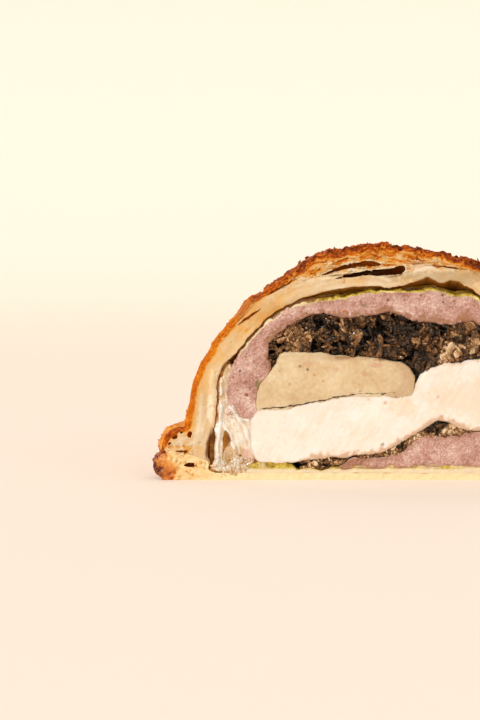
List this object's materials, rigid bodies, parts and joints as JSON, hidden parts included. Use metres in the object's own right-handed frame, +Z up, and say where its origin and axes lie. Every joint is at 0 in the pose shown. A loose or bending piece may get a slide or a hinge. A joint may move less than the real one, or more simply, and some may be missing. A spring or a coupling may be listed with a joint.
{
  "type": "foie gras pie",
  "caption": "Domed puff pastry pie cut through the middle, with layers of cabbage leaf, pink farce, dark mushroom duxelles, foie gras and chicken breast on its flat cut face.",
  "frame": {"origin": "middle of the bottom of the piece's box, on the surface that it stands on", "axes": "+X to the right along the cut face, +Y from the cut face to the back of the dome, +Z up"},
  "size_m": [0.1438, 0.0742, 0.0708],
  "materials": {
    "baked_pastry": "egg-washed puff pastry, browned and flaky outside, pale dough on the cut",
    "base_pastry": "baked dough, pale and damp under the filling, browned at the rim",
    "cabbage_leaf": "soft cooked green cabbage leaf, moist",
    "cabbage_rib": "translucent cooked cabbage rib, moist",
    "farce": "pink cooked forcemeat, finely pitted, slightly moist",
    "duxelles": "dark chopped mushroom, coarse and moist",
    "foie_gras": "smooth fatty liver, satin",
    "chicken_breast": "pale cooked meat with soft fibres, slightly moist"
  },
  "bodies": {
    "root": {"crust_lid": "baked_pastry", "crust_base": "base_pastry", "cabbage_top": "cabbage_leaf", "cabbage_base": "cabbage_leaf", "cabbage_rib_left": "cabbage_rib", "cabbage_fold_left": "cabbage_rib", "cabbage_rib_right": "cabbage_rib", "farce_top": "farce", "farce_base": "farce", "duxelles_top": "duxelles", "duxelles_base": "duxelles", "foie_gras": "foie_gras", "chicken_breast": "chicken_breast"}
  },
  "joints": []
}
